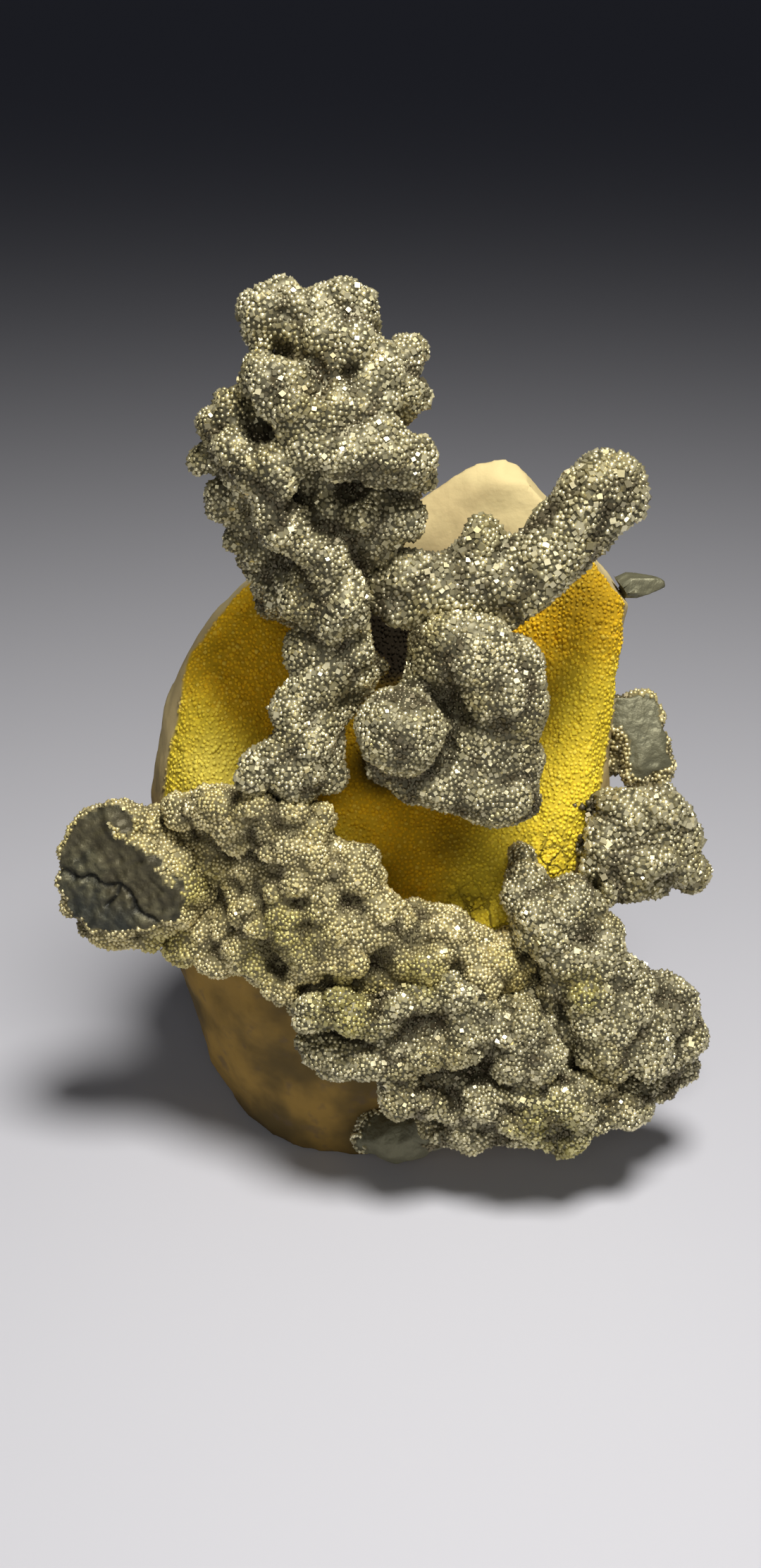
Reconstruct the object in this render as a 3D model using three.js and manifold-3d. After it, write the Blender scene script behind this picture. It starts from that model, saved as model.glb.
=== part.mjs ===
// A hand specimen of pyrite: lobed, stalactite-like growths that rise from the lip of a hollow ochre stone.
// Millimetres, +Z up, the show side faces -Y. Points are measured from the middle of the stone's base.
// At the end the specimen is moved so that its origin is under the middle of its bounding box.
import * as THREE from "three";
import { triTable } from "three/addons/objects/MarchingCubes.js";
import { mergeVertices } from "three/addons/utils/BufferGeometryUtils.js";
import Module from "manifold-3d";

const wasm = await Module();
wasm.setup();

// Driving dimensions
const GAP = 0.3; // left between a growth and the neighbour that cuts it back
const PYRITE_BLEND = 0.15; // how softly neighbouring lobes run together
const PYRITE_CELL = 1.1; // grid on which a growth's surface is found
const PYRITE_FACET = 1.55; // its shortest facet edge on an even stretch
const STONE_BLEND = 1.6; // rounding of the rim between the stone's outside and its hollow
const STONE_CELL = 2.6;
const STONE_FACET = 3;
const STONE_RELIEF = 0.45; // height of the stone's gentle unevenness
const STONE_WAVE = 0.31; // how closely that unevenness repeats, in radians per millimetre
const CREASE_CARE = 5; // how much longer an edge counts for each millimetre that it passes beside the surface
const FOLD_LIMIT = 0.3; // the least that a facet still faces its old way after a merge, as a cosine
const LEAST_SLOPE = 0.5; // a field that rises less than this is taken to rise this much, in a crease
const PROBE = 0.05; // how far apart a field is read to find its slope

// Growths. A limb runs between two ends, each [x, y, z, radius]; a lobe is a limb with no length.
const lobes = (...centres) => centres.map((centre) => [centre, centre]);
const limbs = (...ends) => ends.slice(1).map((end, i) => [ends[i], end]);

// Knobs lie within this angle of one another around a limb's level, more of them above it than below.
const KNOB_TILT = THREE.MathUtils.degToRad(144);
const LOW_SIDE = 0.4; // share of the knobs that lie below
const SMALLEST_KNOB = 0.6; // as a share of the largest
const KNOB_LIFT = 0.1; // how far a knob's middle is above the limb's surface, as a share of its radius

// A repeatable stream of numbers from 0 to 1.
function stream(seed) {
  let state = seed;
  return () => {
    state = (state + 0x6d2b79f5) | 0;
    let t = Math.imul(state ^ (state >>> 15), 1 | state);
    t = (t + Math.imul(t ^ (t >>> 7), 61 | t)) ^ t;
    return ((t ^ (t >>> 14)) >>> 0) / 4294967296;
  };
}

// Small knobs scattered over some limbs, half sunk. A spread of 1 goes all round, 0.5 keeps to the front.
function knobs(growth, { count, radius, seed, spread }) {
  const random = stream(seed);
  return Array.from({ length: count }, () => {
    const [from, to] = growth[Math.floor(random() * growth.length)];
    const along = random();
    const core = new THREE.Vector4(...from).lerp(new THREE.Vector4(...to), along);
    const turn = (random() - 0.5) * 2 * Math.PI * spread;
    const tilt = (random() - LOW_SIDE) * KNOB_TILT;
    const size = radius * THREE.MathUtils.lerp(SMALLEST_KNOB, 1, random());
    const reach = core.w + KNOB_LIFT * size;
    const x = core.x + reach * Math.sin(turn) * Math.cos(tilt);
    const y = core.y - reach * Math.cos(turn) * Math.cos(tilt);
    const z = core.z + reach * Math.sin(tilt);
    return [[x, y, z, size], [x, y, z, size]];
  });
}

// The tower's crown: stacked lobes on a core that leans left, down to where it meets the stone's rim.
const crownCore = [
  ...limbs([-7, -6, 82, 3.0], [-4.6, -6, 76.6, 5.4], [-6.5, -5, 69, 4.8]),
  ...limbs([-6.5, -5, 69, 4.8], [-8.4, -3, 62, 3.4], [-10.2, 0.5, 57, 2.4]),
  ...limbs([-12, -7, 74, 2.8], [-11, -3.5, 66, 3.0]),
];
const crown = [
  ...crownCore,
  ...knobs(crownCore, { count: 34, radius: 2.4, seed: 3, spread: 1 }),
  ...limbs([-10.9, -7.4, 84.4, 2.2], [-8.8, -7.8, 85.2, 2.4], [-7.2, -7, 84.6, 2.0]),
  ...limbs([-3.9, -7.2, 85.3, 2.4], [-5.4, -10, 82.4, 2.4]),
  ...limbs([-4.6, -13, 74.2, 2.2], [-0.6, -13, 73.8, 2.5], [2, -10.4, 73.2, 2.3]),
  ...limbs([-13.4, -10.8, 73.6, 2.2], [-9.6, -12.8, 72.2, 2.4]),
  ...lobes(
    [-2.4, -6.2, 85.4, 1.9],
    [-2.8, -9.4, 83.2, 2.1],
    [1.8, -5.2, 81.6, 1.7],
    [1.2, -7, 80.2, 2.0],
    [-9.6, -12, 79.6, 2.5],
    [-7.6, -13, 78.2, 2.3],
    [-10.9, -10, 80.2, 1.8],
    [-0.6, -9.4, 80, 2.6],
    [1.7, -8, 78, 2.2],
    [-1.4, -11.4, 77.8, 2.2],
    [-5, -11.6, 79.2, 1.7],
    [-4.4, -12.6, 77, 1.9],
    [-13.4, -8, 77.4, 1.6],
    [-15, -8, 75.2, 1.7],
    [-15.9, -6.4, 72.2, 1.6],
    [-7, -12.8, 75.4, 1.9],
    [2.8, -9, 71.2, 1.7],
    [-9.3, -12.4, 67.9, 2.4],
    [-1.9, -10.6, 67.6, 2.2],
    [1, -9, 67.2, 2.7],
    [-4.9, -10, 68.6, 1.6],
    [-14.4, -6, 68.4, 2.0],
    [-13.2, -5, 65, 1.9],
    [-12.2, -4, 61.8, 1.8],
    [-11.2, -2.4, 59, 1.7],
    [-0.6, -7.6, 70.6, 2.6],
  ),
];
// Its trunk, which rises before the hollow.
const trunk = [
  ...limbs([-5, -8.6, 67, 3.0], [-4.6, -8.8, 58, 2.6], [-5.6, -10.4, 51, 2.6], [-8.5, -12, 44, 3.2]),
  ...lobes(
    [-5.8, -12, 65, 2.5],
    [-7.2, -11, 60.8, 2.4],
    [-3.8, -12.4, 61, 2.7],
    [-5, -12, 58.4, 2.0],
    [-1, -9.6, 64.6, 1.8],
    [-6.8, -10.6, 56, 2.4],
    [-3.9, -11, 55.2, 3.0],
    [-1.8, -9, 53.2, 2.0],
    [-6.8, -12, 53, 2.2],
    [-3.2, -9.6, 51.2, 1.9],
    [-8.4, -13, 51, 2.4],
    [-6, -12.4, 49.4, 2.2],
    [-7.6, -14, 48, 2.7],
    [-10.2, -14.4, 46.8, 2.1],
    [-12, -14.6, 45.4, 1.8],
    [-8, -14.4, 45, 2.4],
    [-5.4, -12.6, 44.8, 2.1],
  ),
];

// The finger: a blunt stalactite that points up to the right, on an arm with knobs.
const finger = [
  ...limbs([8, -8.6, 60.6, 2.6], [11.4, -8.4, 61, 3.2], [15.8, -8, 65.6, 3.5], [19.4, -7, 69.8, 3.4]),
  ...limbs([-1, -8, 62.2, 2.2], [5, -8, 61.4, 2.4], [9, -8.4, 61.2, 2.4]),
  ...lobes(
    [1.5, -9, 61.8, 2.9],
    [0.6, -10, 59.8, 2.1],
    [3, -9, 59.2, 2.0],
    [4, -8.6, 62.2, 2.3],
    [6.6, -8.6, 63.2, 2.0],
    [8.4, -8, 65.6, 2.0],
    [7.8, -9.2, 62.6, 2.3],
    [8, -9.6, 60.4, 2.0],
    [5.6, -9.6, 60.4, 1.9],
    [10.8, -9.2, 58.6, 1.9],
    [14.4, -9.8, 63.2, 2.2],
    [17.4, -9, 69.6, 2.4],
    [21, -7.4, 68.8, 2.2],
  ),
];

// The nodules: the heavy cluster that hangs before the hollow, with a dimple between its lobes.
const noduleCore = limbs([8, -5.5, 57.4, 2.4], [8.4, -8, 51, 4.0], [8.4, -9.6, 45.6, 3.0]);
const nodules = [
  ...noduleCore,
  ...knobs(noduleCore, { count: 12, radius: 2.2, seed: 7, spread: 1 }),
  ...limbs([4.8, -10.4, 56.6, 3.0], [8, -11.4, 56.6, 3.2], [11, -11.2, 54, 3.2], [11.4, -11.8, 50, 3.0]),
  ...limbs([4.4, -12.6, 43.8, 2.5], [8, -12.8, 43.2, 2.8], [10.6, -13, 42.6, 3.2]),
  ...lobes(
    [1.1, -14.4, 49.6, 4.1],
    [6.8, -11.4, 56.2, 3.9],
    [10.6, -12, 52.2, 3.9],
    [4, -10, 53.4, 2.5],
    [8.6, -12, 47, 3.0],
    [11.6, -12, 45.6, 2.8],
    [6, -10.4, 48.8, 2.6],
    [1.8, -13.4, 43.8, 1.9],
    [-0.4, -14, 45.6, 1.7],
    [12.8, -12, 41.4, 1.8],
  ),
];

// The left arm: a thick stalactite that lies across the lip, before its end is broken off.
const leftArm = [
  ...limbs([-17, -5.5, 32.4, 4.0], [-21.5, -9, 31.8, 5.2], [-25.4, -10, 32.6, 5.6]),
  ...lobes(
    [-29.6, -10.8, 35.2, 1.8],
    [-28, -10.4, 37.6, 2.0],
    [-25.8, -10, 38.8, 2.0],
    [-23.4, -9.4, 38.6, 1.8],
    [-21.4, -8.6, 37.6, 1.6],
    [-30, -11, 32.6, 1.6],
    [-29.6, -11, 29.8, 1.7],
    [-28.2, -11, 27.6, 1.7],
    [-25.8, -10.8, 26.8, 1.9],
    [-23, -10.4, 26.8, 1.9],
  ),
];
// The fracture that ends it: a point on the flat and the way the flat faces.
const armBreak = { point: [-24, -13, 32], facing: [-0.18, -0.95, 0.24] };

// The crust: the sheet of pyrite over the stone's lip, on backing that follows the stone.
const sheet = [
  ...limbs([-18.5, -8, 38.6, 2.0], [-13, -11.5, 39.6, 2.4], [-8, -12.6, 39.6, 2.8]),
  ...limbs([-17.5, -8.5, 34, 2.6], [-10, -12, 34.4, 3.2], [-3.4, -12.8, 34, 2.8]),
  ...limbs([-18.5, -8.4, 27, 2.8], [-11, -12.4, 28.6, 3.2], [-3, -13.6, 29.6, 3.2], [6, -13.4, 27.4, 3.2]),
  ...limbs([-13.5, -11.4, 24.4, 2.0], [-6, -13.6, 25, 3.0], [4, -14, 23.4, 4.0], [12, -12.6, 25, 3.4]),
];
const crust = [
  ...sheet,
  ...knobs(sheet, { count: 46, radius: 1.9, seed: 5, spread: 0.5 }),
  ...limbs([-20.4, -9.4, 39.2, 1.7], [-15.6, -12.4, 41, 2.0], [-10.8, -14.4, 42.6, 2.2]),
  ...limbs([-10.8, -14.4, 42.6, 2.2], [-7.4, -14.4, 41.4, 2.3]),
  ...lobes(
    [-10.4, -15, 38.8, 2.1],
    [-7.4, -15.4, 38.2, 2.2],
    [-3.2, -15, 35.8, 2.9],
    [-6.4, -16, 35, 2.4],
    [-9.6, -15.4, 35.2, 2.1],
    [-12.4, -14.6, 30.6, 2.4],
    [-8.8, -16, 31, 2.6],
    [-4.8, -16.4, 31.6, 2.7],
    [-0.6, -15.8, 31.4, 2.8],
    [-20, -10.4, 25, 2.0],
    [-16.6, -12.4, 25.4, 2.3],
    [-13, -14.4, 26.6, 2.2],
    [-9.8, -15.8, 23.6, 2.1],
    [-7.4, -16.8, 27.4, 2.3],
    [-3.6, -17, 28.2, 2.5],
    [5.6, -15.4, 28.8, 2.9],
    [9, -16, 25.6, 2.9],
    [3.6, -16.6, 27.2, 2.4],
  ),
];
// The pit in the sheet, and the dark gaps beside the left arm.
const crustPits = [
  ...limbs([-1.6, -18.6, 26.4, 1.5], [1, -18.4, 26.6, 1.2]),
  ...lobes([-14.4, -15.4, 37.4, 1.3], [-11.6, -16.6, 36.8, 1.1], [-17.6, -13.6, 31.6, 1.2]),
];

// The ledges: two rounded shelves with a groove between them, and the knobs that hang below.
const shelfBacking = [
  ...limbs([-7, -14, 21, 2.4], [2, -14.4, 20.4, 3.8], [10, -14, 18.4, 4.6], [15, -13.6, 19, 4.4]),
  ...limbs([-3, -13.8, 16, 2.2], [4, -14, 14.4, 3.6], [12, -14, 12.6, 4.6], [20, -12.6, 12.4, 4.0]),
  ...limbs([5, -13.4, 9.6, 3.0], [12, -14, 9.6, 3.0]),
];
const ledges = [
  ...shelfBacking,
  ...knobs(shelfBacking, { count: 16, radius: 1.7, seed: 8, spread: 0.5 }),
  ...limbs([-7.4, -18.2, 22.4, 1.8], [-4.6, -18.8, 23.2, 2.3], [-1.4, -18.6, 22.8, 2.4]),
  ...limbs([-1.4, -18.6, 22.8, 2.4], [3, -18, 23.8, 2.2], [8, -17.4, 24.8, 2.4]),
  ...limbs([-7.6, -17.2, 18, 1.6], [-3.4, -18.4, 16.8, 2.1], [1, -18.8, 18.6, 2.4]),
  ...limbs([1, -18.8, 18.6, 2.4], [5, -18.8, 19.4, 2.6], [9.4, -18, 21, 2.5]),
  ...limbs([-1.6, -12.6, 4.4, 2.0], [0.8, -13.6, 4.6, 2.4], [3.2, -14, 4.8, 2.0]),
  ...lobes(
    [12.6, -19, 21.2, 2.5],
    [14, -19.6, 18.8, 2.7],
    [11.8, -18.8, 17.8, 2.4],
    [2.4, -19, 13.6, 3.0],
    [6, -17.4, 15, 2.2],
    [7, -17.8, 11.4, 2.3],
    [10, -18.6, 12.8, 2.7],
    [13.4, -19.4, 12.8, 3.1],
    [17, -19.4, 13.2, 3.1],
    [19.8, -18.4, 13.6, 2.1],
    [17, -18.8, 7.8, 1.8],
    [14, -18.8, 9.8, 2.1],
    [18.6, -18.8, 10, 2.1],
    [11.4, -18, 8.8, 2.0],
    [8.8, -17.4, 8, 2.0],
    [6, -16.8, 8.2, 2.2],
    [4.2, -15.6, 6.6, 1.9],
    [22.8, -17, 11.2, 2.5],
    [24.8, -15.4, 11.2, 2.2],
  ),
];

// The right clump: folded ledges that overhang at the lower right and climb to the foot of the hollow.
const rightClump = [
  ...limbs([15, -11.5, 29.4, 3.0], [18, -12.4, 25.6, 3.8], [20.6, -12.6, 20, 4.6], [24.4, -11, 16.4, 4.2]),
  ...limbs([24.6, -13, 22.4, 2.2], [27.6, -12.4, 19.6, 2.6], [29.2, -11.8, 15.8, 2.6]),
  ...limbs([16.4, -15.8, 27.2, 2.4], [20.4, -15, 26.8, 2.4]),
  ...limbs([16, -16.4, 24.2, 2.0], [18.6, -17, 23.8, 2.2], [21.8, -15.4, 24.2, 2.2]),
  ...limbs([19.4, -17.4, 20, 2.2], [22.4, -16.4, 21.2, 2.5], [25.4, -14.4, 18.6, 2.5]),
  ...limbs([12.8, -7.6, 33.8, 1.3], [13, -10.6, 33, 1.7], [13.4, -12.8, 31.8, 2.2]),
  ...lobes(
    [15, -14.6, 30, 3.2],
    [13.2, -13.4, 31.8, 2.4],
    [18, -12.2, 31.2, 2.8],
    [19.6, -13.2, 28.6, 2.5],
    [21, -17.2, 17.6, 2.9],
    [24.8, -15.8, 16.2, 2.8],
    [28.2, -13, 13, 2.1],
    [30.2, -11.8, 11.8, 1.5],
    [27.6, -13.4, 10.8, 1.9],
  ),
];

// The right lobe: the folded knob beside the stone.
const rightLobe = [
  ...limbs([19.5, -4, 34, 3.0], [25, -5, 34.4, 4.0]),
  ...limbs([22, -7.4, 37.4, 2.6], [25.6, -6.4, 38, 2.8], [27.6, -5.6, 35.6, 2.8]),
  ...limbs([21.2, -8.8, 34.6, 2.6], [25, -8, 34.2, 2.8], [28.4, -6, 32.4, 2.6]),
  ...lobes(
    [20.4, -10.4, 31.4, 2.4],
    [23.2, -8.4, 31, 2.2],
    [29.8, -5.4, 30.4, 2.1],
    [26.8, -6.4, 30.6, 2.2],
    [21, -5.6, 37.4, 2.2],
  ),
];

// The side plate: a broken slab of crust that stands against the stone's right flank, with a knobbly rim.
const sidePlate = [
  ...limbs([22, 4.6, 43, 2.0], [24.8, 4.2, 42.8, 2.2], [25.4, 3.4, 40.4, 2.4], [25.4, 2.6, 38.2, 2.6]),
  ...limbs([22, 4.4, 44.9, 1.1], [26.1, 4, 44.8, 1.2], [27, 3, 42.4, 1.2], [27.8, 1.6, 38.6, 1.4]),
];

// The fracture on the plate's show side.
const plateBreak = { point: [25.2, 1.6, 42], facing: [0.05, -0.87, 0.48] };

// The back stub: a small finger of pyrite on the far side.
const backStub = limbs([18, 8, 55, 2.2], [23.5, 7.4, 55.8, 1.7], [27, 7, 56.2, 1.1]);

// How far a point is outside one limb, whose radius tapers from end to end.
function outsideLimb([from, to], x, y, z) {
  const [dx, dy, dz] = [to[0] - from[0], to[1] - from[1], to[2] - from[2]];
  const [px, py, pz] = [x - from[0], y - from[1], z - from[2]];
  const square = dx * dx + dy * dy + dz * dz;
  const along = square > 0 ? THREE.MathUtils.clamp((px * dx + py * dy + pz * dz) / square, 0, 1) : 0;
  const reach = Math.hypot(px - along * dx, py - along * dy, pz - along * dz);
  return reach - THREE.MathUtils.lerp(from[3], to[3], along);
}

// The smallest of several distances, rounded off where they are nearly the same.
function softest(distances, blend) {
  let sum = 0;
  for (const distance of distances) sum += Math.exp(-distance / blend);
  return -blend * Math.log(sum);
}

const outsideGrowth = (growth) => (x, y, z) =>
  softest(
    growth.map((limb) => outsideLimb(limb, x, y, z)),
    PYRITE_BLEND,
  );

// The stone's edges at each height, before the hollow is scooped out.
const stoneEdges = [
  { z: -8, left: -15, right: 12, front: -9, back: 11 },
  { z: 0, left: -16.4, right: 13, front: -10.5, back: 12 },
  { z: 8, left: -19.4, right: 17, front: -12, back: 15 },
  { z: 20, left: -22, right: 20.5, front: -13.5, back: 17 },
  { z: 34, left: -23.6, right: 22.5, front: -14, back: 18 },
  { z: 46, left: -21.8, right: 22.6, front: -10, back: 18 },
  { z: 55, left: -15.8, right: 24.2, front: -5, back: 17 },
  { z: 61, left: -4, right: 20.6, front: 1, back: 16 },
  { z: 66, left: 5.2, right: 15.6, front: 6, back: 13.5 },
  { z: 68.2, left: 9.6, right: 13.4, front: 8.5, back: 11 },
];
const stoneHeights = [stoneEdges[0].z, stoneEdges.at(-1).z];
const stoneBox = new THREE.Box3(new THREE.Vector3(-30, -20, -12), new THREE.Vector3(30, 24, 74));
// The flat that it rests on.
const restingFlat = { point: [0, 0, 0], facing: [0, 0, -1] };

// The hollow: a broad scoop, low in front and high behind.
const hollow = { centre: [2, -13, 60], radii: [25, 22, 34], lean: THREE.MathUtils.degToRad(-14) };

// One edge of the stone at height z, on a smooth curve through the heights given above.
function stoneEdge(side, z) {
  const above = stoneEdges.findIndex((edge) => edge.z >= z && edge !== stoneEdges[0]);
  const at = (i) => stoneEdges[THREE.MathUtils.clamp(i, 0, stoneEdges.length - 1)];
  const slope = (i) => (at(i + 1)[side] - at(i - 1)[side]) / (at(i + 1).z - at(i - 1).z);
  const run = at(above).z - at(above - 1).z;
  const share = (z - at(above - 1).z) / run;
  const ease = share * share * (3 - 2 * share);
  const fromBelow = at(above - 1)[side] * (1 - ease) + share * (1 - share) ** 2 * run * slope(above - 1);
  return fromBelow + at(above)[side] * ease - share ** 2 * (1 - share) * run * slope(above);
}

// How far a point is outside an ellipse or ellipsoid, near its surface.
function outsideEllipse(offsets, radii) {
  const scaled = Math.hypot(...offsets.map((offset, i) => offset / radii[i]));
  const slope = Math.hypot(...offsets.map((offset, i) => offset / radii[i] ** 2));
  return slope > 0 ? (scaled * (scaled - 1)) / slope : -Math.min(...radii);
}

// A gentle unevenness from -1 to 1, whose swells are staggered from one height to the next.
function swell(x, y, z) {
  const [across, deep, up] = [x * STONE_WAVE, y * STONE_WAVE, z * STONE_WAVE];
  return Math.sin(across + Math.sin(up)) * Math.sin(deep + up);
}

function outsideStone(x, y, z) {
  const height = THREE.MathUtils.clamp(z, ...stoneHeights);
  const [left, right] = [stoneEdge("left", height), stoneEdge("right", height)];
  const [front, back] = [stoneEdge("front", height), stoneEdge("back", height)];
  const across = [x - (left + right) / 2, y - (front + back) / 2];
  const side = outsideEllipse(across, [(right - left) / 2, (back - front) / 2]);
  const body = Math.max(side, z - stoneHeights[1], stoneHeights[0] - z);
  const from = new THREE.Vector3(x, y, z).sub(new THREE.Vector3(...hollow.centre));
  from.applyAxisAngle(new THREE.Vector3(1, 0, 0), -hollow.lean);
  const inHollow = -outsideEllipse(from.toArray(), hollow.radii);
  return -softest([-body, -inHollow], STONE_BLEND) - STONE_RELIEF * swell(x, y, z);
}

// The corners of a grid cell, and the pairs of them that its twelve edges join.
const CELL_CORNERS = [
  [0, 0, 0],
  [1, 0, 0],
  [1, 1, 0],
  [0, 1, 0],
  [0, 0, 1],
  [1, 0, 1],
  [1, 1, 1],
  [0, 1, 1],
];
const CELL_EDGES = [
  [0, 1],
  [1, 2],
  [2, 3],
  [3, 0],
  [4, 5],
  [5, 6],
  [6, 7],
  [7, 4],
  [0, 4],
  [1, 5],
  [2, 6],
  [3, 7],
];
const CLEAR_OF_CORNERS = 0.12; // keeps a crossing off a cell's corners, as a share of its edge

// The facets where a field is zero, found cell by cell in a box.
function crossings(field, box, cell) {
  const cells = box.getSize(new THREE.Vector3()).divideScalar(cell).ceil();
  const [across, deep] = [cells.x + 1, cells.y + 1];
  const number = (i, j, k) => i + across * (j + deep * k);
  const place = (n) =>
    new THREE.Vector3(n % across, Math.floor(n / across) % deep, Math.floor(n / (across * deep)))
      .multiplyScalar(cell)
      .add(box.min);
  const total = across * deep * (cells.z + 1);
  const values = Array.from({ length: total }, (_, n) => field(...place(n).toArray()));
  const points = [];
  const faces = [];
  const pointOn = new Map();
  const crossing = (a, b) => {
    const key = Math.min(a, b) * total + Math.max(a, b);
    if (!pointOn.has(key)) {
      pointOn.set(key, points.length);
      const share = values[a] / (values[a] - values[b]);
      const kept = THREE.MathUtils.clamp(share, CLEAR_OF_CORNERS, 1 - CLEAR_OF_CORNERS);
      points.push(place(a).lerp(place(b), kept));
    }
    return pointOn.get(key);
  };
  for (let k = 0; k < cells.z; k++)
    for (let j = 0; j < cells.y; j++)
      for (let i = 0; i < cells.x; i++) {
        const corners = CELL_CORNERS.map(([x, y, z]) => number(i + x, j + y, k + z));
        const row = 16 * corners.reduce((bits, n, bit) => bits + (values[n] > 0 ? 2 ** bit : 0), 0);
        for (let t = row; triTable[t] >= 0; t += 3) {
          const edges = [triTable[t], triTable[t + 1], triTable[t + 2]];
          faces.push(edges.map((edge) => crossing(...CELL_EDGES[edge].map((corner) => corners[corner]))));
        }
      }
  return { points, faces };
}

// Which way a field rises fastest at a point, and how steeply.
function slopeAt({ x, y, z }, field) {
  const rise = [
    field(x + PROBE, y, z) - field(x - PROBE, y, z),
    field(x, y + PROBE, z) - field(x, y - PROBE, z),
    field(x, y, z + PROBE) - field(x, y, z - PROBE),
  ];
  return new THREE.Vector3(...rise).divideScalar(2 * PROBE);
}

// A point moved onto the surface where the field is zero.
function settled(point, field) {
  const slope = slopeAt(point, field);
  const steepness = Math.max(slope.length(), LEAST_SLOPE);
  return point.clone().addScaledVector(slope, -field(...point.toArray()) / steepness ** 2);
}

const facing = (a, b, c) => b.clone().sub(a).cross(c.clone().sub(a));

// Merges the ends of short edges, so that the facets become few and even, and the surface stays closed.
function thinned({ points, faces }, field, shortest) {
  const facesAt = points.map(() => new Set());
  faces.forEach((face, f) => face.forEach((corner) => facesAt[corner].add(f)));
  const cornersAt = (corner) => [...facesAt[corner]].flatMap((f) => faces[f]);
  const around = (corner) => new Set(cornersAt(corner).filter((other) => other !== corner));
  const middle = (from, to) => points[from].clone().lerp(points[to], 0.5);
  const cost = (from, to) => {
    const cutOff = Math.abs(field(...middle(from, to).toArray()));
    return points[from].distanceTo(points[to]) + CREASE_CARE * cutOff;
  };

  // True where moving a corner would turn one of its other faces over.
  const folds = (corner, other, target) =>
    [...facesAt[corner]].some((f) => {
      if (faces[f].includes(other)) return false;
      const before = facing(...faces[f].map((c) => points[c]));
      const after = facing(...faces[f].map((c) => (c === corner ? target : points[c])));
      return before.dot(after) < FOLD_LIMIT * before.length() * after.length();
    });

  const merge = (from, to) => {
    const target = settled(middle(from, to), field);
    const shared = [...around(from)].filter((corner) => around(to).has(corner));
    if (shared.length !== 2 || folds(from, to, target) || folds(to, from, target)) return false;
    points[to] = target;
    for (const f of facesAt[from]) {
      if (faces[f].includes(to)) {
        for (const corner of faces[f]) if (corner !== from) facesAt[corner].delete(f);
        faces[f] = null;
      } else {
        faces[f] = faces[f].map((corner) => (corner === from ? to : corner));
        facesAt[to].add(f);
      }
    }
    facesAt[from].clear();
    return true;
  };

  for (let merged = 1; merged > 0; ) {
    merged = 0;
    const edges = faces.filter(Boolean).flatMap(([a, b, c]) => [
      [a, b],
      [b, c],
      [c, a],
    ]);
    const short = edges
      .filter(([from, to]) => from < to)
      .map(([from, to]) => ({ from, to, cost: cost(from, to) }))
      .filter((edge) => edge.cost < shortest)
      .sort((a, b) => a.cost - b.cost);
    for (const { from, to } of short) {
      const kept = facesAt[from].size > 0 && facesAt[to].size > 0;
      if (kept && cost(from, to) < shortest && merge(from, to)) merged += 1;
    }
  }
  return { points, faces: faces.filter(Boolean) };
}

function manifold(coordinates, corners) {
  const vertProperties = new Float32Array(coordinates);
  const triVerts = new Uint32Array(corners);
  return new wasm.Manifold(new wasm.Mesh({ numProp: 3, vertProperties, triVerts }));
}

// A solid in facets given counter-clockwise, without the corners that no facet uses.
function solidFrom(points, faces) {
  const used = [...new Set(faces.flat())];
  const rank = new Map(used.map((corner, i) => [corner, i]));
  const coordinates = used.flatMap((corner) => points[corner].toArray());
  return manifold(
    coordinates,
    faces.flat().map((corner) => rank.get(corner)),
  );
}

// The solid inside a field's zero surface, and the same solid swollen by the gap, to cut its neighbours back.
// It swells in two steps that are joined, so that no sharp crease is left out.
function solidsOf(field, box, cell, facet) {
  const found = crossings(field, box, cell);
  found.points = found.points.map((point) => settled(point, field));
  const { points, faces } = thinned(found, field, facet);
  const outward = points.map((point) => slopeAt(point, field).normalize());
  const grown = (thickness) =>
    solidFrom(
      points.map((point, i) => point.clone().addScaledVector(outward[i], thickness)),
      faces,
    );
  const solid = grown(0);
  return { solid, swollen: solid.add(grown(GAP / 2)).add(grown(GAP)) };
}

function growthSolids(growth) {
  const box = new THREE.Box3();
  const ball = new THREE.Sphere();
  for (const [x, y, z, radius] of growth.flat()) {
    ball.center.set(x, y, z);
    ball.radius = radius;
    box.union(ball.getBoundingBox(new THREE.Box3()));
  }
  return solidsOf(outsideGrowth(growth), box.expandByScalar(2 * PYRITE_CELL), PYRITE_CELL, PYRITE_FACET);
}

function stoneSolids() {
  return solidsOf(outsideStone, stoneBox, STONE_CELL, STONE_FACET);
}

const CUT_BLOCK = 60; // edge of the block that makes a flat cut

// A large block that cuts away all beyond a flat, given by a point on it and the way it faces.
function beyond({ point, facing: outward }) {
  const block = new THREE.BoxGeometry(CUT_BLOCK, CUT_BLOCK, CUT_BLOCK).translate(0, 0, CUT_BLOCK / 2);
  const way = new THREE.Vector3(...outward).normalize();
  block.applyQuaternion(new THREE.Quaternion().setFromUnitVectors(new THREE.Vector3(0, 0, 1), way));
  block.translate(...point);
  block.deleteAttribute("normal");
  block.deleteAttribute("uv");
  const merged = mergeVertices(block);
  return manifold(merged.attributes.position.array, merged.index.array);
}

const pyrite = new THREE.MeshStandardMaterial({ color: 0x8f8763, roughness: 0.35, metalness: 0.9 });
const ochre = new THREE.MeshStandardMaterial({ color: 0xb98a2c, roughness: 0.9, metalness: 0 });

function meshOf(name, solid, material) {
  const { vertProperties, triVerts } = solid.getMesh();
  const geometry = new THREE.BufferGeometry();
  geometry.setAttribute("position", new THREE.BufferAttribute(vertProperties, 3));
  geometry.setIndex(new THREE.BufferAttribute(triVerts, 1));
  const mesh = new THREE.Mesh(geometry, material);
  mesh.name = name;
  return mesh;
}

const growths = {
  pyrite_tower: [...crown, ...trunk],
  pyrite_finger: finger,
  pyrite_nodules: nodules,
  pyrite_crust: crust,
  pyrite_ledges: ledges,
  pyrite_right_clump: rightClump,
  pyrite_right_lobe: rightLobe,
  pyrite_left_arm: leftArm,
  pyrite_side_plate: sidePlate,
  pyrite_back_stub: backStub,
};

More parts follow.
